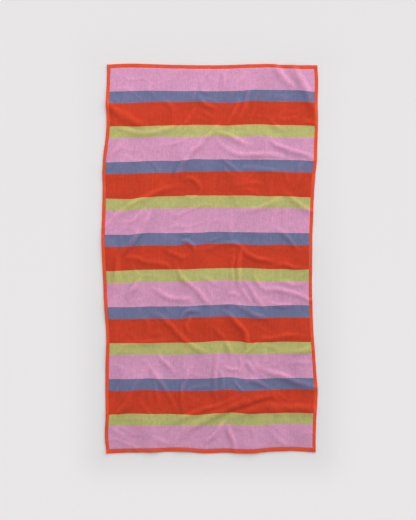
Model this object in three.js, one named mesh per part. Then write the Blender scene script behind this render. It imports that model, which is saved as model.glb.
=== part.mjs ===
// A bath towel laid out on a flat surface, pile side up. It is one piece of
// cotton terry: a pile panel whose flat-woven margin is turned under on all
// four sides as a hem. The towel lies on the surface, and here and there the
// cloth rucks up into soft folds that run slantwise across it.
//
// Millimetres. X runs across the towel, Y along it and Z up. The origin is on
// the surface, under the middle of the towel.

import * as THREE from "three";

// Driving dimensions
const LAID_WIDTH = 758; // side to side as it lies, a little less than its cut
const LAID_LENGTH = 1398; // end to end as it lies
const PILE_THICKNESS = 3; // ground weave with pile on both faces
const HEM_THICKNESS = 2.4; // three layers of the flat-woven margin
const SIDE_HEM = 12; // width of the hems down the long sides
const END_HEM = 15; // width of the hems across the ends
const PILE_STEP = 3; // over which the pile falls away to the hem

// The grid that carries the cloth's shape
const COLUMNS = 36;
const ROWS = 66;

// How far each long side lies outside a straight line, at stations along it
const SIDES = [
  { along: -699, left: -7, right: 2 },
  { along: -640, left: -1, right: 2 },
  { along: -570, left: -3, right: 4 },
  { along: -470, left: -2, right: 9 },
  { along: -400, left: -3, right: 4 },
  { along: -280, left: -6, right: -5 },
  { along: -165, left: 1, right: -10 },
  { along: -50, left: 7, right: -11 },
  { along: 95, left: 12, right: -9 },
  { along: 240, left: 7, right: -3 },
  { along: 350, left: 7, right: 6 },
  { along: 470, left: -6, right: 10 },
  { along: 560, left: -5, right: 11 },
  { along: 640, left: -8, right: 11 },
  { along: 699, left: -10, right: 7 },
];

// How far each end lies outside a straight line, at stations across it
const ENDS = [
  { across: -379, head: -1, foot: 3 },
  { across: -300, head: 3, foot: 0 },
  { across: -210, head: 1, foot: -1 },
  { across: -120, head: -1, foot: -4 },
  { across: -30, head: -3, foot: 2 },
  { across: 60, head: -2, foot: 1 },
  { across: 150, head: 1, foot: 2 },
  { across: 225, head: 1, foot: -4 },
  { across: 290, head: -1, foot: -6 },
  { across: 379, head: -5, foot: -1 },
];

// The main folds. Each is a soft ridge from one point to another, bowed to its
// left by bow at mid length and by sway the one way and then the other, with
// its height and half its width at the foot.
const FOLDS = [
  { name: "head left, from side", from: [-420, 575], to: [-210, 447], bow: 0, sway: 0, height: 8, half: 34 },
  { name: "head left, level", from: [-352, 482], to: [-100, 488], bow: -40, sway: 0, height: 6, half: 30 },
  { name: "head middle, rising", from: [-138, 255], to: [50, 482], bow: 20, sway: 0, height: 8, half: 32 },
  { name: "head middle, steep", from: [44, 458], to: [108, 578], bow: -10, sway: 0, height: 6, half: 28 },
  { name: "head right, short", from: [10, 456], to: [160, 398], bow: 0, sway: 2, height: 6, half: 28 },
  { name: "head right, long", from: [15, 435], to: [310, 345], bow: -23, sway: -17, height: 6, half: 30 },
  { name: "head right, side", from: [190, 466], to: [405, 318], bow: -10, sway: -17, height: 7, half: 30 },
  { name: "head corner, outer", from: [250, 745], to: [386, 480], bow: 18, sway: 0, height: 10, half: 34 },
  { name: "head corner, inner", from: [196, 725], to: [304, 598], bow: 2, sway: 0, height: 8, half: 32 },
  { name: "left, long arch", from: [-405, 60], to: [-85, 262], bow: 43, sway: 0, height: 6, half: 32 },
  { name: "left, upper", from: [-205, 195], to: [-340, -10], bow: 14, sway: 4, height: 7, half: 32 },
  { name: "left, lower", from: [-296, 60], to: [-358, -150], bow: -10, sway: -7, height: 7, half: 32 },
  { name: "left, level", from: [-312, 2], to: [-172, -22], bow: 0, sway: 0, height: 5, half: 28 },
  { name: "middle, falling", from: [-130, 12], to: [10, -192], bow: -16, sway: -10, height: 6, half: 30 },
  { name: "left, low", from: [-215, -110], to: [-50, -160], bow: -10, sway: 0, height: 5, half: 28 },
  { name: "right, upper", from: [258, 238], to: [392, 140], bow: 0, sway: 0, height: 6, half: 30 },
  { name: "right, steep", from: [225, 114], to: [332, 4], bow: 8, sway: 0, height: 5, half: 28 },
  { name: "right, long", from: [90, 56], to: [245, -20], bow: -17, sway: -2, height: 6, half: 28 },
  { name: "right, long, end", from: [222, -18], to: [356, -46], bow: 0, sway: 0, height: 6, half: 28 },
  { name: "middle, long", from: [117, 46], to: [104, -125], bow: -4, sway: 0, height: 8, half: 28 },
  { name: "right, level", from: [172, -110], to: [396, -170], bow: 14, sway: 0, height: 6, half: 28 },
  { name: "right, low", from: [82, -170], to: [238, -236], bow: 0, sway: 0, height: 5, half: 28 },
  { name: "lower, hooked", from: [34, -184], to: [132, -358], bow: 35, sway: 0, height: 9, half: 30 },
  { name: "lower, falling", from: [-222, -190], to: [6, -346], bow: -9, sway: 11, height: 6, half: 30 },
  { name: "lower, short", from: [-20, -234], to: [70, -388], bow: 32, sway: 0, height: 5, half: 28 },
  { name: "lower, long", from: [54, -285], to: [22, -525], bow: -18, sway: 0, height: 6, half: 28 },
  { name: "low left, level", from: [-335, -312], to: [-120, -294], bow: -4, sway: 0, height: 4, half: 32 },
  { name: "low left, falling", from: [-252, -357], to: [-110, -576], bow: 13, sway: 0, height: 4, half: 28 },
  { name: "low left, rising", from: [-218, -372], to: [-374, -620], bow: 10, sway: 0, height: 7, half: 34 },
  { name: "low left, long", from: [-62, -368], to: [-92, -578], bow: -20, sway: 0, height: 6, half: 28 },
  { name: "low right, upper", from: [148, -298], to: [390, -288], bow: 8, sway: 0, height: 5, half: 30 },
  { name: "low right, to side", from: [146, -382], to: [436, -478], bow: -12, sway: 0, height: 7, half: 30 },
  { name: "foot, upper", from: [-152, -600], to: [148, -488], bow: 2, sway: 0, height: 6, half: 30 },
  { name: "foot, main", from: [-128, -656], to: [264, -480], bow: 36, sway: 0, height: 9, half: 32 },
  { name: "foot, to the side", from: [170, -558], to: [430, -576], bow: 20, sway: 0, height: 8, half: 36 },
  { name: "foot, at the hem", from: [135, -760], to: [145, -635], bow: 0, sway: 0, height: 4, half: 60 },
];

// A smooth line through a table's rows, as a function of where along it.
function lineThrough(rows, place, offset) {
  const spline = new THREE.CubicInterpolant(
    rows.map((row) => row[place]),
    rows.map((row) => row[offset]),
    1,
  );
  return (at) => spline.evaluate(at)[0];
}

const leftSide = lineThrough(SIDES, "along", "left");
const rightSide = lineThrough(SIDES, "along", "right");
const head = lineThrough(ENDS, "across", "head");
const foot = lineThrough(ENDS, "across", "foot");

// Where a grid line lies, from one edge of the cloth to the other: on the
// edge, at both sides of the step between hem and pile, and evenly between.
function gridLine(index, count, size, hem) {
  const fromEdge = Math.min(index, count - index);
  const step = PILE_STEP / 2;
  const pitch = (size - 2 * (hem + step)) / (count - 4);
  const inFromEdge = [0, hem - step][fromEdge] ?? hem + step + (fromEdge - 2) * pitch;
  return (index < count / 2 ? inFromEdge : size - inFromEdge) - size / 2;
}

// A raised cosine: 1 in the middle and flat at both feet, 0 beyond them.
function softRidge(share) {
  return Math.abs(share) < 1 ? (1 + Math.cos(Math.PI * share)) / 2 : 0;
}

// How high one fold holds the cloth off the surface at a point.
function foldLift(fold, x, y) {
  const run = new THREE.Vector2(fold.to[0] - fold.from[0], fold.to[1] - fold.from[1]);
  const length = run.length();
  const along = ((x - fold.from[0]) * run.x + (y - fold.from[1]) * run.y) / length ** 2;
  if (along <= 0 || along >= 1) return 0;
  const leftOf = ((y - fold.from[1]) * run.x - (x - fold.from[0]) * run.y) / length;
  const bowed = fold.bow * 4 * along * (1 - along) + fold.sway * Math.sin(2 * Math.PI * along);
  const taper = Math.sin(Math.PI * along) ** 0.8;
  return fold.height * taper * softRidge((leftOf - bowed) / fold.half);
}

// Folds that meet share the cloth between them, so their heights are added as
// the sides of a right angle are.
function lift(x, y) {
  return Math.hypot(...FOLDS.map((fold) => foldLift(fold, x, y)));
}

// The cloth's thickness at a grid point: thin in the hem, full in the pile.
function thicknessAt(column, row) {
  const inHem = column < 2 || row < 2 || column > COLUMNS - 2 || row > ROWS - 2;
  return inHem ? HEM_THICKNESS : PILE_THICKNESS;
}

// The towel: a slab of one cell's thickness, each of whose grid points is
// carried to its place between the four wavering edges and lifted by the folds.
function towelGeometry() {
  const geometry = new THREE.BoxGeometry(1, 1, 1, COLUMNS, ROWS, 1);
  const places = geometry.getAttribute("position");
  for (let i = 0; i < places.count; i++) {
    const column = Math.round((places.getX(i) + 0.5) * COLUMNS);
    const row = Math.round((places.getY(i) + 0.5) * ROWS);
    const across = gridLine(column, COLUMNS, LAID_WIDTH, SIDE_HEM);
    const along = gridLine(row, ROWS, LAID_LENGTH, END_HEM);
    const toRight = across / LAID_WIDTH + 0.5;
    const toHead = along / LAID_LENGTH + 0.5;
    const x = across + THREE.MathUtils.lerp(-leftSide(along), rightSide(along), toRight);
    const y = along + THREE.MathUtils.lerp(-foot(across), head(across), toHead);
    const isTop = places.getZ(i) > 0;
    places.setXYZ(i, x, y, lift(x, y) + (isTop ? thicknessAt(column, row) : 0));
  }
  geometry.computeBoundingBox();
  const middle = geometry.boundingBox.getCenter(new THREE.Vector3());
  geometry.translate(-middle.x, -middle.y, 0);
  geometry.computeVertexNormals();
  return geometry;
}

const cotton = new THREE.MeshStandardMaterial({
  color: new THREE.Color().setRGB(0.78, 0.36, 0.35, THREE.SRGBColorSpace),
  roughness: 0.95,
  metalness: 0,
});

const towel = new THREE.Mesh(towelGeometry(), cotton);
towel.name = "towel";

const part = new THREE.Group();
part.add(towel);

export default part;
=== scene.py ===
"""A bath towel laid out flat on a pale surface, pile side up, seen from straight above."""

import math
from collections import namedtuple

import bpy
import numpy as np
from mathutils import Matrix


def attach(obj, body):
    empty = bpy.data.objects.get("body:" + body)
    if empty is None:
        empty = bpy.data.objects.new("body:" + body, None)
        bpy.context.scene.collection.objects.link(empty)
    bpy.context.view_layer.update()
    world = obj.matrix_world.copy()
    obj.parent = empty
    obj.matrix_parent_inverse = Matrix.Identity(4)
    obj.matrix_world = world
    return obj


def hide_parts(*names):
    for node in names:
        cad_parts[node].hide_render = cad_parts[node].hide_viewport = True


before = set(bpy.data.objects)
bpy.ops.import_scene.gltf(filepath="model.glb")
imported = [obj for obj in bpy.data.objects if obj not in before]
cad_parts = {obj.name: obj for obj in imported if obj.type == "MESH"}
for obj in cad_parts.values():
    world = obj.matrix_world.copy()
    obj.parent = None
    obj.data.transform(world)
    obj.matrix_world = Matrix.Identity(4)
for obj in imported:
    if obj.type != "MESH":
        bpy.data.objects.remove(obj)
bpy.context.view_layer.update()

# The cloth as it lies
# The towel is one cut length of cotton terry, laid by hand: its sides waver and the cloth rucks up
# here and there into soft folds. Everything sewn of it, and its stitching, follows the same lie.

CUT_WIDTH = 0.762
CUT_LENGTH = 1.422
LAID_WIDTH = 0.758
LAID_LENGTH = 1.398
LIE_SEED = 11

# How far each long side lies outside a straight line, at stations along it
Side = namedtuple("Side", "along left right")
SIDES = [
    Side(-0.699, -0.007, 0.002),
    Side(-0.640, -0.001, 0.002),
    Side(-0.570, -0.003, 0.004),
    Side(-0.470, -0.002, 0.009),
    Side(-0.400, -0.003, 0.004),
    Side(-0.280, -0.006, -0.005),
    Side(-0.165, 0.001, -0.010),
    Side(-0.050, 0.009, -0.011),
    Side(0.095, 0.012, -0.009),
    Side(0.240, 0.007, -0.002),
    Side(0.350, 0.008, 0.007),
    Side(0.470, -0.006, 0.010),
    Side(0.560, -0.005, 0.012),
    Side(0.640, -0.008, 0.014),
    Side(0.699, -0.009, 0.009),
]

# How far a crosswise line of the cloth lies from a straight one, towards the head: at the foot,
# a third and two thirds of the way up, and at the head
Cross = namedtuple("Cross", "across foot lower upper head")
CROSSES = [
    Cross(-0.379, -0.003, -0.005, 0.002, -0.001),
    Cross(-0.300, 0.000, -0.005, 0.002, 0.002),
    Cross(-0.210, 0.001, -0.004, 0.007, 0.000),
    Cross(-0.120, 0.004, -0.004, 0.009, -0.003),
    Cross(-0.030, -0.002, 0.000, 0.012, -0.004),
    Cross(0.060, -0.001, 0.003, 0.012, -0.003),
    Cross(0.150, -0.002, -0.001, 0.012, 0.000),
    Cross(0.225, 0.004, -0.001, 0.010, -0.001),
    Cross(0.290, 0.006, 0.000, 0.009, -0.001),
    Cross(0.379, 0.001, 0.000, 0.007, -0.003),
]

# The folds. Each is a soft ridge from start to end, bowed to its left by bow at mid length and by
# sway the one way and then the other, with its height, half its width at the foot, and how far its
# crest leans to the left.
Fold = namedtuple("Fold", "start end bow sway height half lean")
FOLDS = [
    # head, left
    Fold((-0.420, 0.575), (-0.210, 0.447), 0.000, 0.000, 0.0075, 0.029, 0.3),
    Fold((-0.352, 0.482), (-0.100, 0.488), -0.040, 0.000, 0.0056, 0.019, 0.3),
    Fold((-0.180, 0.575), (-0.115, 0.525), 0.000, 0.000, 0.0026, 0.017, 0.2),
    Fold((-0.228, 0.635), (-0.203, 0.580), 0.000, 0.000, 0.0026, 0.014, 0.2),
    Fold((-0.115, 0.445), (-0.045, 0.545), 0.000, 0.000, 0.0040, 0.018, 0.3),
    Fold((-0.050, 0.598), (0.026, 0.534), -0.013, 0.000, 0.0046, 0.014, 0.3),
    Fold((-0.045, 0.612), (0.000, 0.590), 0.000, 0.000, 0.0026, 0.012, 0.2),
    Fold((-0.072, 0.556), (-0.044, 0.612), 0.000, 0.000, 0.0046, 0.014, 0.2),
    Fold((-0.035, 0.530), (0.018, 0.500), 0.000, 0.000, 0.0028, 0.012, 0.2),
    Fold((-0.040, 0.605), (-0.005, 0.692), 0.000, 0.000, 0.0034, 0.013, 0.0),
    Fold((-0.384, 0.275), (-0.300, 0.430), 0.014, 0.000, 0.0058, 0.017, 0.2),
    Fold((-0.395, 0.362), (-0.300, 0.465), 0.006, 0.000, 0.0028, 0.014, 0.2),
    Fold((-0.138, 0.255), (0.050, 0.482), 0.020, 0.000, 0.0088, 0.020, 0.3),
    Fold((-0.195, 0.400), (-0.035, 0.440), -0.004, 0.000, 0.0028, 0.013, 0.2),
    Fold((-0.310, 0.368), (-0.235, 0.330), 0.000, 0.000, 0.0026, 0.015, 0.2),
    Fold((-0.098, 0.286), (-0.030, 0.236), 0.020, 0.000, 0.0056, 0.015, 0.2),
    # head, right
    Fold((0.010, 0.456), (0.160, 0.398), 0.000, 0.002, 0.0064, 0.018, 0.3),
    Fold((0.015, 0.435), (0.310, 0.345), -0.023, -0.017, 0.0057, 0.018, 0.3),
    Fold((0.190, 0.466), (0.405, 0.318), -0.010, -0.017, 0.0066, 0.018, 0.3),
    Fold((0.250, 0.745), (0.386, 0.480), 0.018, 0.000, 0.0102, 0.023, 0.2),
    Fold((0.196, 0.725), (0.304, 0.598), 0.002, 0.000, 0.0088, 0.021, 0.2),
    Fold((0.158, 0.634), (0.106, 0.486), 0.000, 0.000, 0.0072, 0.014, -0.2),
    Fold((0.044, 0.458), (0.108, 0.578), -0.010, 0.000, 0.0070, 0.015, 0.2),
    Fold((0.178, 0.600), (0.150, 0.480), -0.006, 0.000, 0.0028, 0.012, 0.0),
    Fold((0.060, 0.560), (0.130, 0.664), 0.000, 0.000, 0.0032, 0.015, 0.2),
    Fold((0.015, 0.565), (0.032, 0.690), 0.000, 0.000, 0.0026, 0.013, 0.0),
    Fold((0.044, 0.595), (0.056, 0.695), 0.000, 0.000, 0.0040, 0.013, 0.0),
    Fold((0.195, 0.512), (0.268, 0.450), 0.000, 0.000, 0.0034, 0.016, 0.2),
    Fold((0.190, 0.578), (0.300, 0.575), 0.004, 0.000, 0.0024, 0.017, 0.2),
    Fold((0.245, 0.500), (0.318, 0.504), 0.000, 0.000, 0.0022, 0.013, 0.2),
    Fold((0.330, 0.502), (0.405, 0.462), 0.000, 0.000, 0.0036, 0.017, 0.3),
    Fold((0.030, 0.372), (0.122, 0.288), 0.000, 0.000, 0.0044, 0.015, 0.3),
    Fold((0.040, 0.335), (0.098, 0.283), 0.000, 0.000, 0.0032, 0.012, 0.3),
    Fold((0.100, 0.318), (0.275, 0.298), 0.012, 0.000, 0.0038, 0.016, 0.3),
    Fold((0.060, 0.258), (0.205, 0.266), 0.006, 0.000, 0.0034, 0.015, 0.3),
    Fold((0.338, 0.370), (0.300, 0.246), 0.004, 0.000, 0.0060, 0.017, 0.0),
    Fold((0.262, 0.335), (0.288, 0.262), 0.000, 0.000, 0.0030, 0.014, 0.0),
    Fold((0.060, 0.242), (0.096, 0.212), 0.000, 0.000, 0.0032, 0.013, 0.2),
    # middle, left
    Fold((-0.405, 0.060), (-0.085, 0.262), 0.043, 0.000, 0.0062, 0.020, 0.3),
    Fold((-0.395, 0.042), (-0.300, 0.165), 0.008, 0.000, 0.0032, 0.014, 0.3),
    Fold((-0.300, 0.160), (-0.235, 0.200), 0.000, 0.000, 0.0034, 0.013, 0.3),
    Fold((-0.302, 0.120), (-0.225, 0.180), -0.004, 0.000, 0.0036, 0.014, 0.3),
    Fold((-0.205, 0.195), (-0.340, -0.010), 0.014, 0.004, 0.0074, 0.018, 0.0),
    Fold((-0.296, 0.060), (-0.358, -0.150), -0.010, -0.007, 0.0074, 0.017, 0.0),
    Fold((-0.312, 0.004), (-0.172, -0.022), 0.000, 0.000, 0.0048, 0.017, 0.3),
    Fold((-0.172, 0.042), (-0.068, 0.012), -0.016, 0.000, 0.0046, 0.015, 0.2),
    Fold((-0.196, -0.010), (-0.135, -0.042), 0.000, 0.000, 0.0036, 0.014, 0.3),
    Fold((-0.112, 0.060), (-0.050, 0.012), 0.021, 0.000, 0.0076, 0.013, 0.2),
    Fold((-0.115, 0.088), (-0.055, 0.094), 0.000, 0.000, 0.0024, 0.013, 0.2),
    Fold((-0.050, 0.025), (0.042, 0.052), -0.003, 0.000, 0.0024, 0.012, 0.2),
    Fold((-0.130, 0.012), (0.010, -0.192), -0.016, -0.010, 0.0062, 0.016, 0.3),
    Fold((-0.046, -0.060), (0.036, -0.100), 0.000, 0.000, 0.0028, 0.014, 0.2),
    Fold((-0.215, -0.110), (-0.050, -0.160), -0.010, 0.000, 0.0052, 0.017, 0.3),
    Fold((-0.294, -0.156), (-0.236, -0.072), 0.010, 0.000, 0.0064, 0.015, 0.2),
    Fold((-0.108, -0.222), (-0.020, -0.202), 0.026, 0.000, 0.0054, 0.015, 0.2),
    Fold((-0.078, -0.278), (-0.072, -0.205), 0.006, 0.000, 0.0054, 0.012, 0.0),
    Fold((-0.275, -0.230), (-0.235, -0.160), 0.000, 0.000, 0.0026, 0.016, 0.2),
    Fold((-0.222, -0.190), (0.006, -0.346), -0.009, 0.011, 0.0057, 0.018, 0.3),
    # middle, right
    Fold((0.085, 0.158), (0.285, 0.222), -0.008, 0.000, 0.0044, 0.018, 0.3),
    Fold((0.082, 0.165), (0.070, 0.050), 0.000, 0.000, 0.0040, 0.015, 0.0),
    Fold((0.258, 0.238), (0.392, 0.140), 0.000, 0.000, 0.0056, 0.018, 0.3),
    Fold((0.225, 0.114), (0.332, 0.004), 0.008, 0.000, 0.0052, 0.016, 0.3),
    Fold((0.030, 0.056), (0.122, 0.040), 0.004, 0.000, 0.0042, 0.014, 0.3),
    Fold((0.090, 0.056), (0.245, -0.020), -0.017, -0.002, 0.0062, 0.016, 0.3),
    Fold((0.222, -0.018), (0.356, -0.046), 0.000, 0.000, 0.0056, 0.015, 0.3),
    Fold((0.117, 0.046), (0.104, -0.125), -0.004, 0.000, 0.0088, 0.013, -0.2),
    Fold((0.080, 0.024), (0.072, -0.118), 0.004, 0.000, 0.0054, 0.012, 0.2),
    Fold((0.172, -0.110), (0.396, -0.170), 0.014, 0.000, 0.0056, 0.015, 0.3),
    Fold((0.232, -0.088), (0.348, -0.098), 0.000, 0.000, 0.0034, 0.013, 0.3),
    Fold((0.192, -0.167), (0.305, -0.177), 0.002, 0.000, 0.0042, 0.014, 0.3),
    Fold((0.112, -0.068), (0.208, -0.202), 0.002, 0.000, 0.0046, 0.013, 0.2),
    Fold((0.146, -0.048), (0.216, -0.132), -0.006, 0.000, 0.0044, 0.013, 0.2),
    Fold((0.106, -0.100), (0.146, -0.165), 0.000, 0.000, 0.0032, 0.012, 0.2),
    Fold((0.082, -0.170), (0.238, -0.236), 0.000, 0.000, 0.0051, 0.017, 0.3),
    Fold((0.034, -0.184), (0.132, -0.358), 0.035, 0.000, 0.0086, 0.017, 0.3),
    Fold((0.035, -0.176), (0.082, -0.158), 0.000, 0.000, 0.0030, 0.012, 0.2),
    Fold((0.058, -0.121), (0.112, -0.137), 0.000, 0.000, 0.0042, 0.013, 0.2),
    # below the middle, left
    Fold((-0.335, -0.312), (-0.120, -0.294), -0.004, 0.000, 0.0042, 0.020, 0.3),
    Fold((-0.372, -0.365), (-0.285, -0.295), 0.000, 0.000, 0.0028, 0.014, 0.2),
    Fold((-0.198, -0.337), (-0.120, -0.422), 0.000, 0.000, 0.0044, 0.014, 0.3),
    Fold((-0.252, -0.357), (-0.110, -0.576), 0.013, 0.000, 0.0042, 0.016, 0.3),
    Fold((-0.206, -0.400), (-0.180, -0.545), 0.000, 0.000, 0.0030, 0.014, 0.0),
    Fold((-0.062, -0.368), (-0.092, -0.578), -0.020, 0.000, 0.0056, 0.015, 0.0),
    Fold((-0.218, -0.372), (-0.374, -0.620), 0.010, 0.000, 0.0074, 0.022, -0.2),
    Fold((-0.262, -0.400), (-0.352, -0.545), 0.010, 0.000, 0.0028, 0.016, 0.2),
    Fold((-0.264, -0.492), (-0.204, -0.592), 0.000, 0.000, 0.0030, 0.014, 0.2),
    Fold((-0.372, -0.600), (-0.300, -0.650), 0.000, 0.000, 0.0020, 0.014, 0.2),
    Fold((-0.258, -0.618), (-0.138, -0.682), 0.000, 0.000, 0.0030, 0.017, 0.3),
    Fold((-0.150, -0.692), (-0.098, -0.622), 0.000, 0.000, 0.0030, 0.013, 0.2),
    # below the middle, right
    Fold((0.148, -0.298), (0.390, -0.288), 0.008, 0.000, 0.0048, 0.018, 0.3),
    Fold((0.250, -0.346), (0.410, -0.332), 0.002, 0.000, 0.0050, 0.021, 0.3),
    Fold((0.108, -0.382), (0.208, -0.284), 0.010, 0.000, 0.0040, 0.013, 0.3),
    Fold((0.262, -0.378), (0.385, -0.378), 0.000, 0.000, 0.0034, 0.013, 0.2),
    Fold((0.195, -0.322), (0.192, -0.404), 0.000, 0.000, 0.0042, 0.013, 0.0),
    Fold((0.146, -0.382), (0.436, -0.478), -0.012, 0.000, 0.0068, 0.020, 0.3),
    Fold((0.113, -0.346), (0.110, -0.428), 0.000, 0.000, 0.0044, 0.011, 0.0),
    Fold((0.120, -0.364), (0.172, -0.420), 0.000, 0.000, 0.0040, 0.012, 0.2),
    Fold((-0.020, -0.234), (0.070, -0.388), 0.032, 0.000, 0.0054, 0.015, 0.3),
    Fold((0.054, -0.285), (0.022, -0.525), -0.018, 0.000, 0.0060, 0.014, 0.0),
    Fold((0.036, -0.392), (0.054, -0.495), 0.003, 0.000, 0.0042, 0.011, 0.0),
    Fold((0.038, -0.391), (0.120, -0.413), 0.002, 0.000, 0.0046, 0.012, 0.3),
    Fold((0.094, -0.412), (0.138, -0.480), -0.024, 0.000, 0.0050, 0.012, 0.2),
    Fold((0.110, -0.454), (0.218, -0.482), 0.022, 0.000, 0.0048, 0.016, 0.3),
    Fold((0.214, -0.468), (0.248, -0.518), 0.000, 0.000, 0.0034, 0.012, 0.2),
    # foot
    Fold((-0.152, -0.600), (0.148, -0.488), 0.002, 0.000, 0.0064, 0.020, 0.3),
    Fold((-0.128, -0.656), (0.264, -0.480), 0.036, 0.000, 0.0088, 0.026, -0.35),
    Fold((0.040, -0.585), (0.290, -0.530), 0.006, 0.000, 0.0060, 0.028, 0.3),
    Fold((0.170, -0.558), (0.430, -0.576), 0.020, 0.000, 0.0076, 0.034, 0.3),
    Fold((0.090, -0.500), (0.235, -0.480), 0.000, 0.000, 0.0036, 0.034, -0.4),
    Fold((-0.018, -0.674), (0.076, -0.568), 0.000, 0.000, 0.0062, 0.015, 0.3),
    Fold((0.066, -0.575), (0.096, -0.710), -0.004, 0.000, 0.0060, 0.015, 0.0),
    Fold((0.148, -0.592), (0.164, -0.660), 0.000, 0.000, 0.0030, 0.013, 0.0),
    Fold((0.212, -0.604), (0.278, -0.680), -0.006, 0.000, 0.0034, 0.016, 0.2),
    Fold((0.135, -0.760), (0.145, -0.635), 0.000, 0.000, 0.0035, 0.064, 0.0),
]
FOLD_WANDER = 0.002  # how far a crest strays from its bow
WANDER_TURN = 9  # radians of that stray's wave along a fold
FOLD_WARP = 0.0022  # and how far with its neighbours
WARP_LENGTHS = (0.040, 0.110)
FOLD_UNEVEN = 0.22  # share by which a fold's height varies along it
SKIRT_SHARE = 0.24  # of a fold's height, in a flatter and wider swell under it
SKIRT_WIDTH = 2.4  # in halves
FOLD_REACH = 0.070  # how far off a fold still draws the cloth in
FOLD_TAPER = 0.8  # power of the half sine by which a fold dies away along it
FOLD_DRAW = 2.4  # how much more cloth a fold takes up than its bare profile

# Slight creases that run on between the folds in a web
CREASE_HEIGHT = 0.0016
CREASE_LENGTHS = (0.070, 0.150)
CREASE_SHARE = 0.22  # of the pattern that they follow
CREASE_AMOUNT = 0.6  # of their height on average, and how much more or less
CREASE_SPREAD = 0.7
SPREAD_LENGTHS = (0.10, 0.30)
RUMPLE_HEIGHT = 0.0030  # chance unevenness between the folds
RUMPLE_LENGTHS = (0.090, 0.400)
WAVES = 24  # in a chance pattern
FINE_WAVES = 40  # in one that must not be seen to repeat


def smooth_line(stations, offsets, at):
    """The smooth curve through a table's points: between two points a cubic, whose slope at each is
    that of the line between its neighbours."""
    stations = np.asarray(stations)
    offsets = np.asarray(offsets)
    slopes = np.gradient(offsets, stations)
    i = np.clip(np.searchsorted(stations, at) - 1, 0, len(stations) - 2)
    gap = stations[i + 1] - stations[i]
    t = np.clip((at - stations[i]) / gap, 0, 1)
    ends = (1 + 2 * t) * (1 - t) ** 2 * offsets[i] + t**2 * (3 - 2 * t) * offsets[i + 1]
    tangents = t * (1 - t) ** 2 * slopes[i] - t**2 * (1 - t) * slopes[i + 1]
    return ends + gap * tangents


def chance(x, y, lengths, waves, seed, turn=(0, math.pi)):
    """Smooth chance unevenness of about -1 to 1: the sum of plane waves, each with its own length,
    phase and heading, the heading drawn from the range turn."""
    draw = np.random.default_rng(seed)
    total = np.zeros_like(x)
    for _ in range(waves):
        length = draw.uniform(*lengths)
        heading = draw.uniform(*turn)
        phase = draw.uniform(0, 2 * math.pi)
        total += np.cos(2 * math.pi * (x * math.cos(heading) + y * math.sin(heading)) / length + phase)
    return total / math.sqrt(2 * waves)


def fold_share(fold, x, y, stray):
    """Where points lie by a fold: the share of the way along it, and how far to its left in half
    widths. Its middle line is a parabola of rise bow on its chord, with a sine wave of sway and a
    slow wander."""
    run_x = fold.end[0] - fold.start[0]
    run_y = fold.end[1] - fold.start[1]
    length = math.hypot(run_x, run_y)
    off_x = x - fold.start[0]
    off_y = y - fold.start[1]
    along = np.clip((off_x * run_x + off_y * run_y) / length**2, 0, 1)
    left = (off_y * run_x - off_x * run_y) / length
    middle = fold.bow * 4 * along * (1 - along) + fold.sway * np.sin(2 * math.pi * along)
    middle += FOLD_WANDER * np.sin(WANDER_TURN * along + stray)
    return along, (left - middle) / fold.half


def fold_lift(fold, x, y, stray):
    """A fold's height at points: a raised cosine across it, its crest pushed to the left by lean,
    over a wider one, times a power of a half sine along it."""
    along, left = fold_share(fold, x, y, stray)
    near = np.clip(left, -1, 1)
    leant = near - fold.lean * (1 - near**2)
    crest = (1 - SKIRT_SHARE) * (1 + np.cos(math.pi * leant)) / 2
    skirt = SKIRT_SHARE * (1 + np.cos(math.pi * np.clip(left / SKIRT_WIDTH, -1, 1))) / 2
    return fold.height * np.sin(math.pi * along) ** FOLD_TAPER * (crest + skirt)


def fold_draw(fold, x, y, stray):
    """How far a fold draws the cloth beside it in, towards its middle line: half the cloth that its
    profile takes up, fading with distance."""
    along, left = fold_share(fold, x, y, stray)
    taken = FOLD_DRAW * math.pi**2 * fold.height**2 / (8 * fold.half)
    faded = np.exp(-((left * fold.half / FOLD_REACH) ** 2))
    return -taken / 2 * np.tanh(left) * faded * np.sin(math.pi * along)


def crease_lift(x, y):
    """The height of the slight creases: bell-shaped ridges on the zero lines of a chance pattern,
    as high as a second and slower pattern says."""
    web = chance(x, y, CREASE_LENGTHS, FINE_WAVES, LIE_SEED + 2)
    amount = CREASE_AMOUNT + CREASE_SPREAD * chance(x, y, SPREAD_LENGTHS, WAVES, LIE_SEED + 3)
    return CREASE_HEIGHT * np.clip(amount, 0, 1) * np.exp(-((web / CREASE_SHARE) ** 2))


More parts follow.
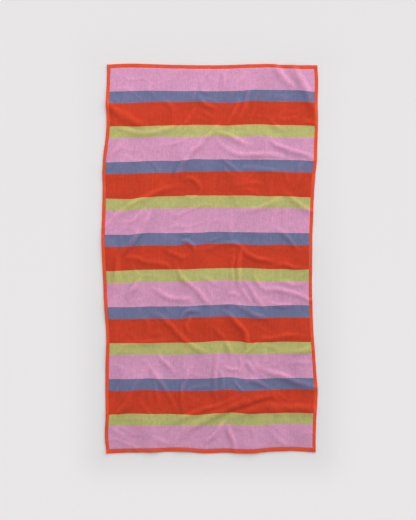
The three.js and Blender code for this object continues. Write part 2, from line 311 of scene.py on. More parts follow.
def laid(across, along):
    """Where points of the cut cloth lie. The straight lie is stretched between the four wavering
    edges, then drawn in towards the folds. Its height is the square root of the summed squares of
    the heights of folds, creases and chance rumple, so that those that meet run together."""
    x = across * LAID_WIDTH / CUT_WIDTH
    y = along * LAID_LENGTH / CUT_LENGTH
    to_right = across / CUT_WIDTH + 0.5
    to_head = along / CUT_LENGTH + 0.5
    sides = Side(*np.transpose(SIDES))
    left = smooth_line(sides.along, sides.left, y)
    right = smooth_line(sides.along, sides.right, y)
    crosses = Cross(*np.transpose(CROSSES))
    shift = np.zeros_like(x)
    rows = (crosses.foot, crosses.lower, crosses.upper, crosses.head)
    for i, row in enumerate(rows):
        others = [j for j in range(len(rows)) if j != i]
        weight = np.prod([(3 * to_head - j) / (i - j) for j in others], axis=0)
        shift = shift + weight * smooth_line(crosses.across, row, x)
    x = x - (1 - to_right) * left + to_right * right
    y = y + shift
    strays = np.random.default_rng(LIE_SEED).uniform(0, 2 * math.pi, len(FOLDS))
    drawn_x = np.zeros_like(x)
    drawn_y = np.zeros_like(x)
    for fold, stray in zip(FOLDS, strays):
        length = math.dist(fold.start, fold.end)
        drawn = fold_draw(fold, x, y, stray)
        drawn_x -= drawn * (fold.end[1] - fold.start[1]) / length
        drawn_y += drawn * (fold.end[0] - fold.start[0]) / length
    x = x + drawn_x
    y = y + drawn_y
    square = np.zeros_like(x)
    warped_x = x + FOLD_WARP * chance(x, y, WARP_LENGTHS, WAVES, LIE_SEED + 4)
    warped_y = y + FOLD_WARP * chance(x, y, WARP_LENGTHS, WAVES, LIE_SEED + 5)
    for fold, stray in zip(FOLDS, strays):
        square += fold_lift(fold, warped_x, warped_y, stray) ** 2
    square *= (1 + FOLD_UNEVEN * chance(x, y, WARP_LENGTHS, WAVES, LIE_SEED + 6)) ** 2
    rumple = RUMPLE_HEIGHT * chance(x, y, RUMPLE_LENGTHS, FINE_WAVES, LIE_SEED)
    square += np.maximum(rumple, 0) ** 2 + crease_lift(x, y) ** 2
    return np.stack([x, y, np.sqrt(square)], axis=-1)


def on_cloth(across, along, height):
    """Points at a height above the cloth's underside, square to it where they are."""
    step = 0.001
    here = laid(across, along)
    by_across = laid(across + step, along) - here
    by_along = laid(across, along + step) - here
    normal = np.cross(by_across, by_along)
    normal /= np.linalg.norm(normal, axis=-1, keepdims=True)
    return here + normal * np.asarray(height)[..., None]


# The pile panel
# The middle of the towel: a ground weave with cotton pile on both faces, cut level to a velour on
# the face and left in loops on the reverse. Its edges run in under the turned hems.

SIDE_HEM = 0.012
END_HEM = 0.015
PILE_THICKNESS = 0.003
HEM_THICKNESS = 0.0024
PILE_ROUND = 0.0026  # over which the pile falls away to the hem
ROUND_LINES = (1.0, 0.62, 0.3, 0.08)  # shares of it at which grid lines run
EDGE_RISE = 0.4  # share of the hem's thickness at which the reverse meets the hem
TUCK = 0.0015  # how far the panel runs into the hem
GRID_STEP = 0.0048
PILE_LUMP = 0.00012
LUMP_LENGTHS = (0.009, 0.030)
CREST_BEND = 0.006  # at a full crest: how far it stands above the cloth two steps off, summed
CREST_INSIDE = 3 * GRID_STEP  # how far inside the panel's edge crests begin
BAKE_MARGIN = 0.01


def panel_lines(size, hem):
    """Grid lines across one direction of the panel: close together where the pile rounds down to
    the hem, then even."""
    inner = size / 2 - hem
    close = inner - PILE_ROUND * np.array(ROUND_LINES)
    count = int(2 * close[0] / GRID_STEP)
    even = np.linspace(-close[0], close[0], count + 1)[1:-1]
    edge = np.append(close, inner + TUCK)
    return np.concatenate([-edge[::-1], even, edge])


def rounding(inside):
    """How full the pile stands, 0 to 1, at a distance inside its edge: a quarter circle."""
    share = np.clip(inside / PILE_ROUND, 0, 1)
    return np.sqrt(1 - (1 - share) ** 2)


def new_mesh_object(name, points, faces, materials):
    """A mesh object in the scene from arrays of points and faces."""
    mesh = bpy.data.meshes.new(name)
    mesh.from_pydata(points.tolist(), [], faces)
    mesh.validate()
    for material in materials:
        mesh.materials.append(material)
    mesh.shade_smooth()
    made = bpy.data.objects.new(name, mesh)
    bpy.context.collection.objects.link(made)
    return made


def grid_quads(rows, columns, first=0):
    """The quads of a grid of points stored row by row, counter-clockwise seen from above."""
    at = first + np.arange(rows * columns).reshape(rows, columns)
    return np.stack([at[:-1, :-1], at[:-1, 1:], at[1:, 1:], at[1:, :-1]], axis=-1).reshape(-1, 4)


def ring_of(rows, columns):
    """The grid's border points in order, counter-clockwise from its first corner."""
    at = np.arange(rows * columns).reshape(rows, columns)
    return np.concatenate([at[0, :-1], at[:-1, -1], at[-1, :0:-1], at[:0:-1, 0]])


def add_uv(obj, name, by_corner):
    """A UV map from an array with a row for each corner of each face."""
    layer = obj.data.uv_layers.new(name=name)
    layer.data.foreach_set("uv", np.asarray(by_corner, dtype=np.float32).ravel())


def corner_points(obj):
    """The point that each corner of each face stands on."""
    corners = np.empty(len(obj.data.loops), dtype=np.int64)
    obj.data.loops.foreach_get("vertex_index", corners)
    return corners


def put(tree, kind, inputs=None, **settings):
    """Adds a shader node. Settings are its properties, and each input is a value or the output of
    another node."""
    made = tree.nodes.new("ShaderNode" + kind)
    for name, value in settings.items():
        setattr(made, name, value)
    for name, value in (inputs or {}).items():
        if isinstance(value, bpy.types.NodeSocket):
            tree.links.new(value, made.inputs[name])
        else:
            made.inputs[name].default_value = value
    return made


def math_of(tree, operation, first, second=0.0, third=0.0, **settings):
    """The output of a Math node."""
    inputs = {0: first, 1: second, 2: third}
    return put(tree, "Math", inputs, operation=operation, **settings).outputs[0]


def mixed(tree, factor, first, second, blend="MIX"):
    """The colour output of a Mix node."""
    inputs = {0: factor, 6: first, 7: second}
    return put(tree, "Mix", inputs, data_type="RGBA", blend_type=blend).outputs[2]


def noise(tree, place, stretch, detail=2.0, rough=0.5):
    """Noise from 0 to 1 on a place in metres, stretch lumps to the metre each way."""
    scaled = put(tree, "VectorMath", {0: place, 1: stretch}, operation="MULTIPLY").outputs[0]
    inputs = {"Vector": scaled, "Scale": 1.0, "Detail": detail, "Roughness": rough}
    return put(tree, "TexNoise", inputs).outputs[0]


def linear(red, green, blue):
    """A display colour, 0 to 255, as the linear colour that shaders take."""
    return tuple(((c / 255 + 0.055) / 1.055) ** 2.4 for c in (red, green, blue)) + (1.0,)


def new_finish(name, **settings):
    """A material, its node tree and its shader, whose inputs are set by name, _ for a space."""
    material = bpy.data.materials.new(name)
    material.use_nodes = True
    shader = material.node_tree.nodes["Principled BSDF"]
    for each, value in settings.items():
        shader.inputs[each.replace("_", " ")].default_value = value
    return material, material.node_tree, shader


def shaded_by(tree, shade, pattern, share):
    """A shade lightened and darkened by a pattern from 0 to 1: times 1 plus share times how far the
    pattern is from a half."""
    factor = math_of(tree, "MULTIPLY_ADD", pattern, share, 1 - share / 2)
    return math_of(tree, "MULTIPLY", shade, factor)


def colour_it(tree, shader, colour, shade):
    """Gives the shader a colour times a shade."""
    grey = put(tree, "CombineColor", {0: shade, 1: shade, 2: shade}).outputs[0]
    tree.links.new(mixed(tree, 1.0, colour, grey, "MULTIPLY"), shader.inputs["Base Color"])


def roughen_it(tree, shader, height, strength, depth):
    """Gives the shader's surface relief of a depth in metres."""
    bump = put(tree, "Bump", {"Strength": strength, "Distance": depth, "Height": height})
    tree.links.new(bump.outputs[0], shader.inputs["Normal"])


# The bands run across the towel, from hem to hem along it, each so many units long
Band = namedtuple("Band", "dye units")
BANDS = [
    Band(linear(216, 154, 188), 2),
    Band(linear(184, 185, 113), 1),
    Band(linear(204, 60, 35), 2),
    Band(linear(100, 117, 152), 1),
]
BAND_REPEATS = 5
GROUND_DYE = linear(196, 74, 44)
COOL_CAST = (0.90, 0.98, 1.05, 1.0)  # of the dyeing where it took unevenly

# The pile's unevenness. Each layer has so many lumps to the metre across and along the towel, the
# noise's detail and roughness, and the share by which it lightens and darkens the pile.
Layer = namedtuple("Layer", "across along detail rough share")
RIBS = Layer(330, 9, 3.0, 0.6, 0.42)
NAP = Layer(14, 6, 3.0, 0.55, 0.30)
MOTTLE = Layer(110, 70, 4.0, 0.6, 0.32)
FIBRE = Layer(2600, 1500, 3.0, 0.7, 0.36)
SPILL = Layer(520, 520, 3.0, 0.5, 0.0)
DYEING = Layer(38, 26, 3.0, 0.6, 0.0)
DYE_SPILL = 0.0022  # how far the edge of a band strays among the tufts
TUFT_ROWS = (0.85, 0.62)  # tufts in a tuft's size, across and along
TUFT_STRAY = 0.9  # how far fibres stray out of their tuft, in tufts
GAP_RISE = 1.2  # of the gap between tufts, for each tuft's length from a tuft's middle
# Painted shade between the tufts: the colour darkens by this share as the gap opens, and is lighter at
# a tuft's middle
GAP_PAINTED_SHADE = -0.36
GAP_LEVEL = 1.19  # the shade of a tuft's middle
# Painted highlight on crests and painted shade in troughs, by this share of the bend
CREST_PAINTED_LIGHT_SHADE = 0.12
GAP_BARE = 0.13  # share of the ground that shows in a gap, on a crest and on a rib
CREST_BARE = 0.10
RIB_BARE = 0.16
PILE_COVER = 0.08  # and that the pile hides


def banded(tree, along):
    """The dye at a place along the cloth: the bands in turn, again and again, from the foot hem on,
    closing with the first."""
    repeat = sum(band.units for band in BANDS)
    total = repeat * BAND_REPEATS + BANDS[0].units
    unit = (CUT_LENGTH - 2 * END_HEM) / total
    units = math_of(tree, "MULTIPLY_ADD", along, 1 / unit, total / 2 + repeat)
    share = math_of(tree, "FRACT", math_of(tree, "DIVIDE", units, repeat))
    ramp = put(tree, "ValToRGB", {0: share})
    ramp.color_ramp.interpolation = "CONSTANT"
    stops = ramp.color_ramp.elements
    while len(stops) < len(BANDS):
        stops.new(0.5)
    done = 0
    for stop, band in zip(stops, BANDS):
        stop.position = done / repeat
        stop.color = band.dye
        done += band.units
    return ramp.outputs[0]


def pile_finish(name, tuft, depth, loops):
    """Cotton pile: the bands' dyes, shaded by tufts of a size in lengthwise rows, with painted shade
    in the gaps between them, by their fibres, by ribs, by the lay of the nap, by a painted highlight
    on crests and painted shade in troughs, and by the ground that shows between the tufts and on
    crests.
    Its relief has a depth, and loops is how far the gaps between tufts sink in it."""
    material, tree, shader = new_finish(
        name,
        Roughness=0.92,
        Specular_IOR_Level=0.12,
        Sheen_Weight=0.22,
        Sheen_Roughness=0.45,
        Sheen_Tint=(1.0, 0.86, 0.84, 1.0),
    )
    place = put(tree, "UVMap", uv_map="cloth").outputs[0]

    def layered(layer):
        return noise(tree, place, (layer.across, layer.along, 1), layer.detail, layer.rough)

    spill = layered(SPILL)
    along = put(tree, "SeparateXYZ", {0: place}).outputs[1]
    edge = math_of(tree, "MULTIPLY_ADD", spill, DYE_SPILL, along)
    dye = banded(tree, math_of(tree, "SUBTRACT", edge, DYE_SPILL / 2))

    fibre = layered(FIBRE)
    ribs = layered(RIBS)
    mottle = layered(MOTTLE)
    stray = put(tree, "CombineXYZ", {0: fibre, 1: spill}).outputs[0]
    to_rows = (TUFT_ROWS[0] / tuft, TUFT_ROWS[1] / tuft, 1)
    rows = put(tree, "VectorMath", {0: place, 1: to_rows}, operation="MULTIPLY").outputs[0]
    inputs = {0: stray, 1: (TUFT_STRAY, TUFT_STRAY, 0), 2: rows}
    rows = put(tree, "VectorMath", inputs, operation="MULTIPLY_ADD").outputs[0]
    tufts = put(tree, "TexVoronoi", {"Vector": rows, "Scale": 1.0, "Randomness": 0.8})
    gap = math_of(tree, "MULTIPLY", tufts.outputs["Distance"], GAP_RISE)

    # Painted shade: darker in the gaps between tufts, lighter at their middles
    shade = math_of(tree, "MULTIPLY_ADD", gap, GAP_PAINTED_SHADE, GAP_LEVEL)
    for pattern, layer in ((ribs, RIBS), (layered(NAP), NAP), (mottle, MOTTLE), (fibre, FIBRE)):
        shade = shaded_by(tree, shade, pattern, layer.share)
    # Painted highlight on the folds' crests and painted shade in their troughs
    crest = put(tree, "Attribute", attribute_name="crest").outputs["Fac"]
    painted_crest_shading = math_of(tree, "MULTIPLY_ADD", crest, CREST_PAINTED_LIGHT_SHADE, 1.0)
    shade = math_of(tree, "MULTIPLY", shade, painted_crest_shading)
    bare = math_of(tree, "MULTIPLY_ADD", crest, CREST_BARE, math_of(tree, "MULTIPLY", gap, GAP_BARE))
    bare = math_of(tree, "SUBTRACT", bare, PILE_COVER)
    bare = math_of(tree, "MULTIPLY_ADD", ribs, RIB_BARE, bare, use_clamp=True)
    dyed = mixed(tree, bare, dye, GROUND_DYE)
    cooled = mixed(tree, 1.0, dyed, COOL_CAST, "MULTIPLY")
    colour_it(tree, shader, mixed(tree, layered(DYEING), cooled, dyed), shade)

    high = math_of(tree, "MULTIPLY_ADD", ribs, 0.5, math_of(tree, "MULTIPLY", mottle, 0.9))
    high = math_of(tree, "MULTIPLY_ADD", fibre, 0.8, high)
    high = math_of(tree, "SUBTRACT", high, math_of(tree, "MULTIPLY", gap, loops))
    roughen_it(tree, shader, high, strength=0.6, depth=depth)
    return material


def pile_panel():
    """The panel as a closed sheet: a face grid and a reverse grid on the same lines, joined round
    the border. The face stands a pile's thickness above the reverse, which is the laid surface."""
    across, along = np.meshgrid(panel_lines(CUT_WIDTH, SIDE_HEM), panel_lines(CUT_LENGTH, END_HEM))
    rows, columns = across.shape
    inside = np.minimum(CUT_WIDTH / 2 - SIDE_HEM - abs(across), CUT_LENGTH / 2 - END_HEM - abs(along))
    full = rounding(inside)
    lump = PILE_LUMP * chance(across, along, LUMP_LENGTHS, FINE_WAVES, LIE_SEED + 1)
    edge = HEM_THICKNESS / 2
    face = on_cloth(across, along, edge + full * (PILE_THICKNESS - edge + lump))
    reverse = on_cloth(across, along, (1 - full) * HEM_THICKNESS * EDGE_RISE)
    points = np.concatenate([face.reshape(-1, 3), reverse.reshape(-1, 3)])
    quads = grid_quads(rows, columns)
    border = ring_of(rows, columns)
    after = np.roll(border, -1)
    count = rows * columns
    rim = np.stack([border, border + count, after + count, after], axis=-1)
    faces = np.concatenate([quads, quads[:, ::-1] + count, rim])
    materials = [
        pile_finish("velour_face", tuft=0.0013, depth=0.0007, loops=0.5),
        pile_finish("loop_reverse", tuft=0.0021, depth=0.0010, loops=1.1),
    ]
    panel = new_mesh_object("pile_panel", points, faces.tolist(), materials)
    on_reverse = np.zeros(len(faces), dtype=np.int32)
    on_reverse[len(quads) : 2 * len(quads)] = 1
    panel.data.polygons.foreach_set("material_index", on_reverse)

    # How far the cloth bends at each point: for the pile's painted highlight on crests and painted
    # shade in troughs, and for the ground that shows on crests
    z = laid(across, along)[..., 2]
    bend = np.zeros_like(z)
    beside = z[:-4, 2:-2] + z[4:, 2:-2] + z[2:-2, :-4] + z[2:-2, 4:]
    bend[2:-2, 2:-2] = 4 * z[2:-2, 2:-2] - beside
    crest = np.clip(bend / CREST_BEND, -1, 1) * (inside > CREST_INSIDE)
    attribute = panel.data.attributes.new("crest", "FLOAT", "POINT")
    attribute.data.foreach_set("value", np.tile(crest.ravel(), 2).astype(np.float32))

    corners = corner_points(panel)
    flat = np.tile(np.stack([across.ravel(), along.ravel()], axis=-1), (2, 1))[corners]
    add_uv(panel, "cloth", flat)
    half = (corners >= count)[:, None] * [0.5, 0.0]
    spread = (flat / [CUT_WIDTH, CUT_LENGTH] + 0.5) * [0.5 - 2 * BAKE_MARGIN, 1 - 2 * BAKE_MARGIN]
    add_uv(panel, "OFBake", spread + BAKE_MARGIN + half)
    return panel


towel = pile_panel()
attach(towel, "root")
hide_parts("towel")


# The hems
# The flat-woven margin, turned under twice on all four sides. The side hems are sewn first, and the
# end hems are turned over them at the corners, where the cloth is thickest.

HEM_DYE = linear(222, 78, 44)
HEM_STEP = 0.0017
HEM_SECTION_POINTS = 13
HEM_RIPPLE = 0.10  # share of its thickness by which a hem thins here and there
RIPPLE_LENGTHS = (0.011, 0.045)
HEM_WANDER = 0.0002  # how far its outer fold strays
WANDER_LENGTHS = (0.013, 0.060)
HEM_OVERLAP = 0.002  # how far the side hems run in under the end hems
OUTER_ROUND = 0.0013
INNER_ROUND = 0.0007
CORNER_SWELL = 0.55  # share by which a hem is thicker over another hem's end
SWELL_REACH = 1.3  # in widths of a side hem
SWELL_POWER = 0.7
STITCH_INSET = 0.0022  # from the hem's inner edge to its line of stitches
STITCH_PITCH = 0.003
STITCH_GROOVE = 0.36  # share of the hem's thickness
HOLE_SHARE = 0.65  # of the groove's depth that is only there at a needle hole
GROOVE_WIDTH = 0.0008
HEM_SEED = 23
WARP_PITCH = 0.0009
WEFT_PITCH = 0.0007
WEAVE_SHADE = 0.08  # shares by which weave, yarn and wear lighten and darken a hem
YARN_SHADE = 0.24
WEAR_SHADE = 0.30

# Each hem: how long and wide it is, whether it runs across an end, and on which side it lies
Hem = namedtuple("Hem", "length width is_end side rows")
HEMS = [
    Hem(CUT_LENGTH - 2 * END_HEM + 2 * HEM_OVERLAP, SIDE_HEM, False, 1, 4),
    Hem(CUT_LENGTH - 2 * END_HEM + 2 * HEM_OVERLAP, SIDE_HEM, False, -1, 4),
    Hem(CUT_WIDTH, END_HEM, True, 1, 2),
    Hem(CUT_WIDTH, END_HEM, True, -1, 2),
]
BAKE_ROWS = sum(hem.rows for hem in HEMS)


def hem_faces(hem, run, inset):
    """The heights of a hem's reverse and face above the lie, at points run along it and inset from
    its outer fold: a flat band with a round outer fold, a smaller round at its inner edge, and a
    groove along the stitches that is deepest at the needle holes."""
    outer = np.clip(inset / OUTER_ROUND, 0, 1)
    inner = np.clip((hem.width - inset) / INNER_ROUND, 0, 1)
    full = np.sqrt(1 - (1 - outer) ** 2) * np.sqrt(1 - (1 - inner) ** 2)
    line = np.exp(-(((inset - hem.width + STITCH_INSET) / GROOVE_WIDTH) ** 2))
    holes = 1 - HOLE_SHARE + HOLE_SHARE * abs(np.cos(math.pi * run / STITCH_PITCH))
    groove = STITCH_GROOVE * line * holes
    by_hem = np.full_like(run, hem.width * hem.side)
    ripple = 1 - HEM_RIPPLE * abs(chance(run, by_hem, RIPPLE_LENGTHS, WAVES, HEM_SEED))
    swell = np.ones_like(run)
    if hem.is_end:
        from_side = CUT_WIDTH / 2 - abs(run)
        swell += CORNER_SWELL * np.clip(SWELL_REACH - from_side / SIDE_HEM, 0, 1) ** SWELL_POWER
    middle = HEM_THICKNESS / 2 * swell
    half = middle * ripple * full * (1 - groove)
    return middle - half, middle + half


def hem_place(hem, run, inset):
    """Where points of a hem are on the flat cut cloth."""
    if hem.is_end:
        return run, hem.side * (CUT_LENGTH / 2 - inset)
    return hem.side * (CUT_WIDTH / 2 - inset), run


def hem_tube(hem):
    """One hem as a closed tube: its points, a row for each station along it and a column for each
    point round its section, from the inner edge over the face to the outer fold and back below."""
    stations = 2 * int(hem.length / HEM_STEP / 2)
    turn = np.linspace(0, 1, HEM_SECTION_POINTS)
    run = np.linspace(-hem.length / 2, hem.length / 2, stations + 1)
    run, turn = np.meshgrid(run, turn, indexing="ij")
    inset = hem.width * (1 + np.cos(math.pi * turn)) / 2
    reverse, face = hem_faces(hem, run, inset)
    by_hem = np.full_like(run, hem.width * hem.side)
    stray = HEM_WANDER * chance(run, by_hem, WANDER_LENGTHS, WAVES, HEM_SEED + 2)
    inset = inset + stray * turn
    back = slice(-2, 0, -1)
    inset = np.concatenate([inset, inset[:, back]], axis=1)
    height = np.concatenate([face, reverse[:, back]], axis=1)
    run = np.concatenate([run, run[:, back]], axis=1)
    return run, inset, on_cloth(*hem_place(hem, run, inset), height)


def weave_finish():
    """Flat-woven cotton in the ground dye: fine ribs across the hem, a crosswise weft, slightly
    darker and paler lengths of yarn, and wear where the cloth is folded."""
    material, tree, shader = new_finish(
        "flat_weave",
        Roughness=0.8,
        Specular_IOR_Level=0.2,
        Sheen_Weight=0.10,
        Sheen_Roughness=0.5,
        Sheen_Tint=(1.0, 0.8, 0.7, 1.0),
    )
    place = put(tree, "UVMap", uv_map="cloth").outputs[0]
    parts = put(tree, "SeparateXYZ", {0: place})
    warp = math_of(tree, "SINE", math_of(tree, "MULTIPLY", parts.outputs[0], 2 * math.pi / WARP_PITCH))
    weft = math_of(tree, "SINE", math_of(tree, "MULTIPLY", parts.outputs[1], 2 * math.pi / WEFT_PITCH))
    weave = math_of(tree, "MULTIPLY", warp, weft)
    yarn = noise(tree, place, (900, 60, 1), 3.0, 0.6)
    wear = noise(tree, place, (60, 120, 1), 4.0, 0.6)
    shade = math_of(tree, "MULTIPLY_ADD", weave, WEAVE_SHADE, 1.0)
    shade = shaded_by(tree, shade, yarn, YARN_SHADE)
    shade = shaded_by(tree, shade, wear, WEAR_SHADE)
    colour_it(tree, shader, HEM_DYE, shade)
    high = math_of(tree, "MULTIPLY_ADD", yarn, 0.8, math_of(tree, "MULTIPLY", weave, 0.5))
    roughen_it(tree, shader, high, strength=0.55, depth=0.0003)
    return material


def turned_hems():
    """The four hems as one mesh. Their bake map lays each hem out in rows of equal length."""
    points = []
    faces = []
    cloth_map = []
    bake_map = []
    first = 0
    row = 0
    for hem in HEMS:
        run, inset, placed = hem_tube(hem)
        stations, ring = run.shape
        at = first + np.arange(stations * ring).reshape(stations, ring)
        beside = np.roll(at, -1, axis=1)
        quads = np.stack([at[:-1], beside[:-1], beside[1:], at[1:]], axis=-1).reshape(-1, 4)
        caps = [at[0][::-1].tolist(), at[-1].tolist()]
        j, k = np.meshgrid(np.arange(stations - 1), np.arange(ring), indexing="ij")
        corner_j = np.stack([j, j, j + 1, j + 1], axis=-1).reshape(-1, 4)
        corner_k = np.stack([k, k + 1, k + 1, k], axis=-1).reshape(-1, 4)
        per_row = (stations - 1) / hem.rows
        within = (j // per_row).reshape(-1, 1)
        bake_x = 0.005 + 0.99 * (corner_j / per_row - within)
        bake_y = (row + within + 0.03 + 0.9 * corner_k / ring) / BAKE_ROWS
        bake = np.stack([bake_x, bake_y], axis=-1)
        cloth = np.stack([run[corner_j, 0], corner_k * 2 * hem.width / ring], axis=-1)
        if hem.is_end == (hem.side < 0):
            quads, bake, cloth = quads[:, ::-1], bake[:, ::-1], cloth[:, ::-1]
            caps = [cap[::-1] for cap in caps]
        points.append(placed.reshape(-1, 3))
        faces += quads.tolist() + caps
        cap_corners = 2 * ring
        cloth_map += [cloth.reshape(-1, 2), np.zeros((cap_corners, 2))]
        bake_map += [bake.reshape(-1, 2), np.full((cap_corners, 2), (row + 0.985) / BAKE_ROWS)]
        first += stations * ring
        row += hem.rows
    made = new_mesh_object("turned_hems", np.concatenate(points), faces, [weave_finish()])
    add_uv(made, "cloth", np.concatenate(cloth_map))
    add_uv(made, "OFBake", np.concatenate(bake_map))
    return made


hem_piece = turned_hems()
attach(hem_piece, "root")

# The stitching
# One line of cotton lockstitch down each hem, the same on the face and on the reverse, sewn back over
# its last few stitches at the ends of the end hems.

THREAD = 0.0005
THREAD_DYE = linear(236, 104, 66)
STITCH_LENGTH = 0.0027
STITCH_RISE = 0.00012  # how far a thread's middle stands above the groove
STITCH_DIVE = 0.00040  # and how far its ends sink into it
STITCH_SLANT = 0.10  # aside for each length along, and how much more or less
SLANT_UNEVEN = 0.08
STITCH_TAPER = 0.5
STITCH_RINGS = 4
STITCH_SIDES = 5
TACK_STITCHES = 5  # sewn over again at each end
TACK_OFFSET = 0.0006
THREAD_SEED = 31


def stitch_places(hem):
    """The middles of a hem's stitches, along and in from its outer fold: halfway between the needle
    holes, and the last few over again half a pitch on and a little to the side."""
    line = hem.width - STITCH_INSET
    count = int((hem.length - 2 * STITCH_INSET) / STITCH_PITCH)
    run = (np.arange(count) - count // 2 + 0.5) * STITCH_PITCH
    inset = np.full(count, line)
    if hem.is_end:
        again = np.concatenate([run[:TACK_STITCHES], run[-TACK_STITCHES:]]) + STITCH_PITCH / 2
        run = np.concatenate([run, again])
        inset = np.concatenate([inset, np.full(len(again), line - TACK_OFFSET)])
    return run, inset


def stitches(hem, on_face, draw):
    """A hem's stitches on one face, as points in rings: each a short thread whose middle line is an
    even rise less a cube of the distance along it, thinner at its ends, a little aslant, and pressed
    flat where it lies on the floor."""
    run, inset = stitch_places(hem)
    reverse, face = hem_faces(hem, run + STITCH_PITCH / 2, inset)
    across, along = hem_place(hem, run, inset)
    middle = on_cloth(across, along, face if on_face else reverse)
    ahead = on_cloth(*hem_place(hem, run + STITCH_PITCH / 4, inset), face if on_face else reverse)
    up = on_cloth(across, along, face + 0.001) - on_cloth(across, along, face)
    forward = ahead - middle
    forward /= np.linalg.norm(forward, axis=-1, keepdims=True)
    up /= np.linalg.norm(up, axis=-1, keepdims=True) * (1 if on_face else -1)
    aside = np.cross(up, forward)
    u = np.linspace(-1, 1, STITCH_RINGS)[:, None]
    turn = np.arange(STITCH_SIDES) * 2 * math.pi / STITCH_SIDES
    radius = THREAD / 2 * (1 - STITCH_TAPER * u**2)
    uneven = draw.uniform(-1, 1, (len(run), 1, 1))
    on = u * STITCH_LENGTH / 2 + 0 * turn
    side = radius * np.cos(turn) + on * (STITCH_SLANT + SLANT_UNEVEN * uneven)
    high = radius * np.sin(turn) + STITCH_RISE - STITCH_DIVE * abs(u) ** 3
    axes = (forward[:, None, None], aside[:, None, None], up[:, None, None])
    steps = (on[None, ..., None], side[..., None], high[None, ..., None])
    rings = middle[:, None, None] + sum(axis * step for axis, step in zip(axes, steps))
    rings[..., 2] = np.maximum(rings[..., 2], 0)
    return rings


def thread_finish():
    """Twisted cotton thread, a little brighter than the hem."""
    material, tree, shader = new_finish("cotton_thread", Roughness=0.6, Specular_IOR_Level=0.3)
    place = put(tree, "TexCoord").outputs["Object"]
    twist = noise(tree, place, (2600, 2600, 2600))
    tone = noise(tree, place, (45, 45, 45))
    shade = math_of(tree, "MULTIPLY_ADD", tone, 0.2, 0.65)
    colour_it(tree, shader, THREAD_DYE, math_of(tree, "MULTIPLY_ADD", twist, 0.5, shade))
    roughen_it(tree, shader, twist, strength=0.4, depth=0.0001)
    return material


def hem_stitching():
    """All the stitches as one mesh of short closed tubes. Its bake map gives each a cell."""
    draw = np.random.default_rng(THREAD_SEED)
    rings = [stitches(hem, on_face, draw) for hem in HEMS for on_face in (True, False)]
    rings = np.concatenate(rings)
    count = len(rings)
    at = np.arange(count * STITCH_RINGS * STITCH_SIDES).reshape(count, STITCH_RINGS, STITCH_SIDES)
    beside = np.roll(at, -1, axis=2)
    quads = np.stack([at[:, :-1], beside[:, :-1], beside[:, 1:], at[:, 1:]], axis=-1)
    caps = np.concatenate([at[:, 0, ::-1], at[:, -1]])
    faces = quads.reshape(-1, 4).tolist() + caps.tolist()
    made = new_mesh_object("hem_stitching", rings.reshape(-1, 3), faces, [thread_finish()])
    cells = math.ceil(math.sqrt(count))
    which = np.arange(count)
    cell = np.stack([which % cells, which // cells], axis=-1)
    j, k = np.meshgrid(np.arange(STITCH_RINGS - 1), np.arange(STITCH_SIDES), indexing="ij")
    share_x = np.stack([k, k + 1, k + 1, k], axis=-1) / STITCH_SIDES
    share_y = np.stack([j, j, j + 1, j + 1], axis=-1) / STITCH_RINGS
    share = np.stack([share_x, share_y], axis=-1).reshape(1, -1, 2)
    sides = cell[:, None] + 0.05 + 0.9 * share
    ends = np.repeat(np.tile(cell, (2, 1)) + [0.5, 0.9], STITCH_SIDES, axis=0)
    add_uv(made, "OFBake", np.concatenate([sides.reshape(-1, 2), ends]) / cells)
    return made


stitching = hem_stitching()
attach(stitching, "root")

# The floor and the light
# A plain pale surface under an even white room, soft low light from beyond the head and a little
# from each side, which pick out the folds, and a wide lamp over the head end, so that the towel
# dims towards its foot. The floor's shade makes up for that lamp, but for a painted shadow round
# the towel.

FLOOR_REACH = 6.0
FLOOR_DROP = 0.0004
FLOOR_DYE = (0.812, 0.796, 0.804, 1.0)
ROOM_SHARE = 0.515  # of the light on a level surface
LAMP_SHARE = 0.24
LAMP_HEIGHT = 2.5
LAMP_BEYOND = 1.6
LAMP_SIZE = 1.2
# The painted shadow round the towel: its depth at the head and at the foot, and how far it reaches
PAINTED_SHADOW_HEAD = 0.03
PAINTED_SHADOW_FOOT = 0.11
PAINTED_SHADOW_REACH = 0.084

Sun = namedtuple("Sun", "name azimuth elevation spread share")
SUNS = [
    Sun("head_light", 16, 18, 26, 0.145),
    Sun("left_light", -70, 14, 24, 0.02),
    Sun("right_light", 68, 16, 24, 0.08),
]


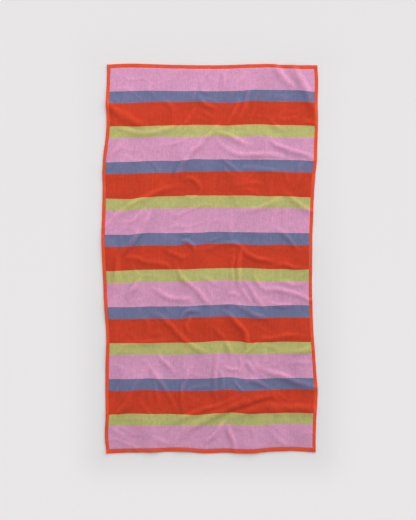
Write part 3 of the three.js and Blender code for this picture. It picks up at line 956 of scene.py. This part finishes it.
def floor_finish():
    """Pale paper. Its shade is the inverse of the light that the lamp and the rest give each place,
    less a painted shadow round the towel's outline that falls off as the bell curve of the distance."""
    material, tree, shader = new_finish("pale_paper", Roughness=0.9, Specular_IOR_Level=0.0)
    place = put(tree, "TexCoord").outputs["Object"]
    parts = put(tree, "SeparateXYZ", {0: place})
    x, y = parts.outputs[0], parts.outputs[1]
    away = math_of(tree, "SUBTRACT", y, LAMP_BEYOND)
    square = math_of(tree, "MULTIPLY_ADD", away, away, LAMP_HEIGHT**2)
    square = math_of(tree, "MULTIPLY_ADD", x, x, square)
    middle = LAMP_BEYOND**2 + LAMP_HEIGHT**2
    lamp = math_of(tree, "MULTIPLY", LAMP_SHARE * middle**2, math_of(tree, "POWER", square, -2.0))
    shade = math_of(tree, "DIVIDE", 1.0, math_of(tree, "ADD", lamp, 1 - LAMP_SHARE))
    # Painted shadow: the floor darkens near the towel's outline, more towards the foot
    out_x = math_of(tree, "SUBTRACT", math_of(tree, "ABSOLUTE", x), LAID_WIDTH / 2)
    out_y = math_of(tree, "SUBTRACT", math_of(tree, "ABSOLUTE", y), LAID_LENGTH / 2)
    out_x = math_of(tree, "MAXIMUM", out_x, 0.0)
    out_y = math_of(tree, "MAXIMUM", out_y, 0.0)
    off = math_of(tree, "MULTIPLY_ADD", out_y, out_y, math_of(tree, "MULTIPLY", out_x, out_x))
    bell = math_of(tree, "EXPONENT", math_of(tree, "MULTIPLY", off, -1 / PAINTED_SHADOW_REACH**2))
    inputs = {"Value": y, "From Min": LAID_LENGTH / 3, "From Max": -LAID_LENGTH / 3}
    inputs.update({"To Min": PAINTED_SHADOW_HEAD, "To Max": PAINTED_SHADOW_FOOT})
    depth = put(tree, "MapRange", inputs, interpolation_type="SMOOTHSTEP").outputs[0]
    painted_shadow = math_of(tree, "SUBTRACT", 1.0, math_of(tree, "MULTIPLY", depth, bell))
    colour_it(tree, shader, FLOOR_DYE, math_of(tree, "MULTIPLY", shade, painted_shadow))
    return material


corner = FLOOR_REACH * np.array([[-1, -1, 0], [1, -1, 0], [1, 1, 0], [-1, 1, 0]])
floor = new_mesh_object("floor", corner - [0, 0, FLOOR_DROP], [(0, 1, 2, 3)], [floor_finish()])

# A sun or a lamp that adds its share to a level white surface's brightness
for each in SUNS:
    light = bpy.data.lights.new(each.name, "SUN")
    light.angle = math.radians(each.spread)
    light.energy = each.share * math.pi / math.sin(math.radians(each.elevation))
    placed = bpy.data.objects.new(each.name, light)
    placed.rotation_euler = (math.radians(90 - each.elevation), 0, math.radians(180 - each.azimuth))
    bpy.context.collection.objects.link(placed)

light = bpy.data.lights.new("head_lamp", "AREA")
light.shape = "DISK"
light.size = LAMP_SIZE
light.energy = LAMP_SHARE * math.pi**2 * (LAMP_BEYOND**2 + LAMP_HEIGHT**2) ** 2 / LAMP_HEIGHT**2
placed = bpy.data.objects.new("head_lamp", light)
placed.location = (0, LAMP_BEYOND, LAMP_HEIGHT)
placed.visible_camera = False
bpy.context.collection.objects.link(placed)

world = bpy.data.worlds.new("white_room")
world.use_nodes = True
world.node_tree.nodes["Background"].inputs["Color"].default_value = (1, 1, 1, 1)
world.node_tree.nodes["Background"].inputs["Strength"].default_value = ROOM_SHARE
bpy.context.scene.world = world
bpy.context.scene.view_settings.view_transform = "Standard"

# The camera
# It looks straight down on the towel from far above, as in the photograph.

FRAME_HEIGHT = 1.872  # of the floor that the picture takes in
LENS = 85
SENSOR = 36
LOOK_AT = (-0.0066, -0.0058)

camera = bpy.data.cameras.new("camera")
camera.lens = LENS
camera.sensor_width = SENSOR
camera_object = bpy.data.objects.new("camera", camera)
camera_object.location = (*LOOK_AT, FRAME_HEIGHT * LENS / SENSOR)
bpy.context.collection.objects.link(camera_object)
bpy.context.scene.camera = camera_object
